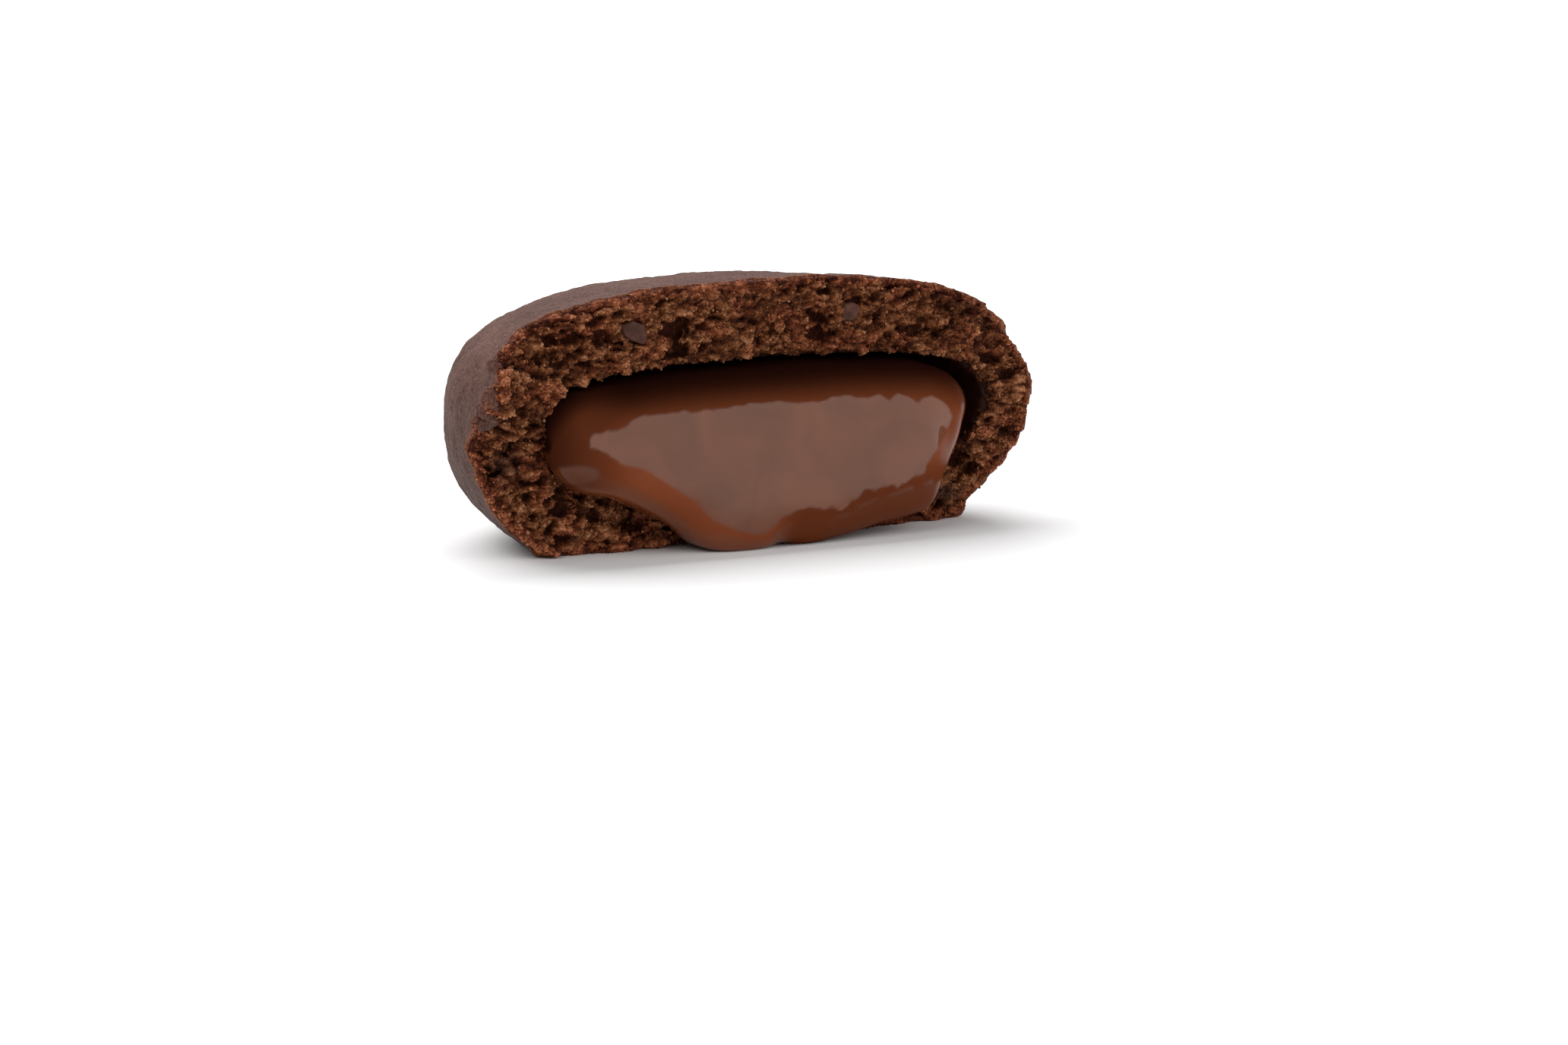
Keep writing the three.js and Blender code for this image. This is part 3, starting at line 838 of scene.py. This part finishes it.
def make_chips():
    """Broken chocolate pieces set flush in the torn face."""
    solid = cad_copy("cookie_half")
    surface = BVHTree.FromBMesh(solid)
    bm = bmesh.new()
    for x, z, _, outline in CHIPS:
        hit = surface.ray_cast(Vector((x, BEFORE_BREAK, z)) * MM, Vector((0, 1, 0)))[0]
        front = hit.y / MM - CHIP_OUT
        corners = [bm.verts.new(Vector((x + right, front, z + up)) * MM) for right, up in outline]
        broken = bm.faces.new(corners)
        made = bmesh.ops.extrude_face_region(bm, geom=[broken], use_keep_orig=True)["geom"]
        back = [v for v in made if isinstance(v, bmesh.types.BMVert)]
        bmesh.ops.translate(bm, verts=back, vec=(0, CHIP_DEEP * MM, 0))
        crown = bmesh.ops.poke(bm, faces=[broken])["verts"][0]
        crown.co += CHIP_CROWN * MM
    bmesh.ops.recalc_face_normals(bm, faces=bm.faces)
    bmesh.ops.bevel(
        bm, geom=bm.edges[:], offset=CHIP_EDGE * MM, affect="EDGES", segments=2, profile=0.5, material=-1
    )
    solid.free()
    return finished(mesh_of(bm), "chocolate_chips", chip_material())


def path_distance(points, path):
    """How far points lie from an open path."""
    a, b = np.array(path[:-1]), np.array(path[1:])
    way = b - a
    past = points[:, None, :] - a
    share = np.clip((past * way).sum(2) / (way**2).sum(1), 0, 1)
    return np.linalg.norm(past - share[:, :, None] * way, axis=2).min(1)


def depth_within(points, edge):
    """How far points lie inside a closed outline, less than 0 for those outside it."""
    a, b = np.array(edge), np.roll(np.array(edge), -1, axis=0)
    x, z = points[:, :1], points[:, 1:]
    crossed = (a[:, 1] > z) != (b[:, 1] > z)
    right_of = x < a[:, 0] + (z - a[:, 1]) / (b[:, 1] - a[:, 1]) * (b[:, 0] - a[:, 0])
    inside = (crossed & right_of).sum(1) % 2 == 1
    return path_distance(points, (*edge, edge[0])) * np.where(inside, 1, -1)


def roof_height(x):
    """Height of the chamber's roof over a place along the break (millimetres)."""
    across = min(abs(x - CHAMBER_X) / CHAMBER_R, 1.0)
    return CHAMBER_Z + ROOF_RISE * (1 - across**ROOF_POWER) ** (1 / ROOF_POWER)


def filling_swell(p):
    """How far the filling swells at a point, so that it meets the crumb (millimetres)."""
    left_end = 1 - smoothstep(*LEFT_SWELL_X, p.x)
    right_end = smoothstep(*RIGHT_SHRINK_X, p.x) * (1 - smoothstep(*RIGHT_SHRINK_Z, p.z))
    return FILLING_SWELL + LEFT_SWELL * left_end - RIGHT_SHRINK * right_end


def filling_reflection(p, normal, inside, crease, under_fold):
    """How much the filling mirrors at a point, from 0 to 1: a painted mask, whole inside its outline and
    less along its edges, with painted strips of reflection there.
    """
    start = LIP_START - LIP_NEARER * smoothstep(*LIP_NEARER_X, p.x)
    lip = smoothstep(start - LIP_SOFT, start + LIP_SOFT, -inside)
    lip *= (1 - smoothstep(*LIP_END_X, p.x)) * (1 - smoothstep(*LIP_END_Z, p.z))
    film = 1 - smoothstep(*FILM_FADE, half_sizes_away(p, *FILM))
    rim = smoothstep(*RIM_FACING, normal.x) * smoothstep(*RIM_Z, p.z) * smoothstep(*RIM_X, p.x)
    hem = smoothstep(*HEM_DROP, under_fold) * smoothstep(*HEM_X, p.x) * smoothstep(*HEM_FACING, -normal.y)
    return max(
        smoothstep(*REFLECTION_FADE, inside),
        CREASE_GLOSS * crease,
        LIP_GLOSS * lip,
        FILM_GLOSS * film,
        HEM_GLOSS * hem,
        RIM_GLOSS * rim,
    )


def filling_light(p):
    """How much painted light the filling keeps at a point, from 0 to 1: painted shade makes it dark under
    the roof and dimmer at its ends and foot.
    """
    under_roof = roof_height(p.x) - p.z
    foot = smoothstep(*FOOT_SHADE_X, p.x) * (1 - smoothstep(*FOOT_SHADE_Z, p.z))
    light = smoothstep(*ROOF_SHADE, under_roof)
    light *= (1 - FOOT_SHADE * foot) * (1 - RIGHT_SHADE * smoothstep(*RIGHT_SHADE_X, p.x))
    left_light = LEFT_LIGHT - LEFT_SHADE * (1 - smoothstep(*LEFT_SHADE_X, p.x))
    left_light *= smoothstep(*LEFT_ROOF_SHADE, under_roof)
    left_end = (1 - smoothstep(*LEFT_X, p.x)) * smoothstep(*LEFT_Z, p.z)
    return light + (left_light - light) * left_end


def make_filling():
    """The molten filling: swollen to meet the crumb, smoothed, and gently waved and creased."""
    bm = even_net("chocolate_filling", FILLING_VOXEL)
    bm.normal_update()
    for v in bm.verts:
        v.co += v.normal * filling_swell(v.co / MM) * MM
    smooth(bm, bm.verts, FILLING_SMOOTHING)
    applied(bm, "SUBSURF", levels=1, render_levels=1)
    reflection_mask = bm.verts.layers.float.new("reflection_mask")
    shade = bm.verts.layers.float.new("shade")
    bm.normal_update()
    places = np.array([(v.co.x, v.co.z) for v in bm.verts]) / MM
    depths = depth_within(places, REFLECTION_EDGE)
    folds = path_distance(places, FOLD)
    fold_heights = np.interp(places[:, 0], *np.array(FOLD).T)
    for v, inside, fold, fold_z in zip(bm.verts, depths, folds, fold_heights):
        p = v.co / MM
        inside += uneven(p, *REFLECTION_WAVER)
        crease = math.exp(-((fold / FOLD_WIDTH) ** 2)) * smoothstep(*FOLD_GAP_EDGE, uneven(p, *FOLD_GAPS))
        # painted mask of where it reflects, which also lifts the painted shade
        v[reflection_mask] = filling_reflection(p, v.normal, inside, crease, fold_z - p.z)
        v[shade] = max(filling_light(p), v[reflection_mask])
        v.co += v.normal * (relief(p, FILLING_WAVES) + FOLD_RISE * crease) * MM
        v.co.z = max(v.co.z, 0.0)
    return finished(mesh_of(bm), "molten_filling", filling_material(), "chocolate_filling")


def make_floor():
    bm = bmesh.new()
    bmesh.ops.create_grid(bm, x_segments=1, y_segments=1, size=FLOOR_HALF)
    mesh = mesh_of(bm)
    floor = bpy.data.objects.new("floor", mesh)
    bpy.context.scene.collection.objects.link(floor)
    mesh.materials.append(floor_material())


def make_camera():
    back = Vector((
        -math.sin(VIEW_YAW) * math.cos(VIEW_RISE),
        -math.cos(VIEW_YAW) * math.cos(VIEW_RISE),
        math.sin(VIEW_RISE),
    ))
    data = bpy.data.cameras.new("camera")
    data.sensor_width = SENSOR
    data.lens = SENSOR * VIEW_DISTANCE * VIEW_PX_PER_MM / PHOTO_W
    data.clip_start = 0.01
    data.clip_end = 50
    camera = bpy.data.objects.new("camera", data)
    bpy.context.scene.collection.objects.link(camera)
    camera.location = (VIEW_AIM + back * VIEW_DISTANCE) * MM
    camera.rotation_euler = back.to_track_quat("Z", "Y").to_euler()
    bpy.context.scene.camera = camera


def make_studio():
    for name, (place, aim, size, brightness) in SOFTBOXES.items():
        data = bpy.data.lights.new(name, "AREA")
        data.shape = "RECTANGLE"
        data.size, data.size_y = size
        data.energy = brightness * math.pi * size[0] * size[1]
        light = bpy.data.objects.new(name, data)
        bpy.context.scene.collection.objects.link(light)
        light.location = place
        light.rotation_euler = (Vector(place) - Vector(aim)).to_track_quat("Z", "Y").to_euler()
    world = bpy.data.worlds.new("studio")
    bpy.context.scene.world = world
    world.use_nodes = True
    tree = world.node_tree
    tree.nodes.clear()
    glow = add(tree, "ShaderNodeBackground", {"Color": (1, 1, 1, 1), "Strength": WORLD}, 0)
    add(tree, "ShaderNodeOutputWorld", {"Surface": glow})
    bpy.context.scene.view_settings.view_transform = "Standard"


make_camera()
make_studio()
make_floor()
crust = make_crust()
make_knobs(crust.data.materials[0])
crumb = make_crumb()
seats = grain_seats(crumb)
make_grains("coarse_crumbs", crumb.data.materials[0], seats, *COARSE_GRAINS, seed=5)
make_grains("fine_crumbs", crumb.data.materials[0], seats, *FINE_GRAINS, seed=6)
make_chips()
make_filling()
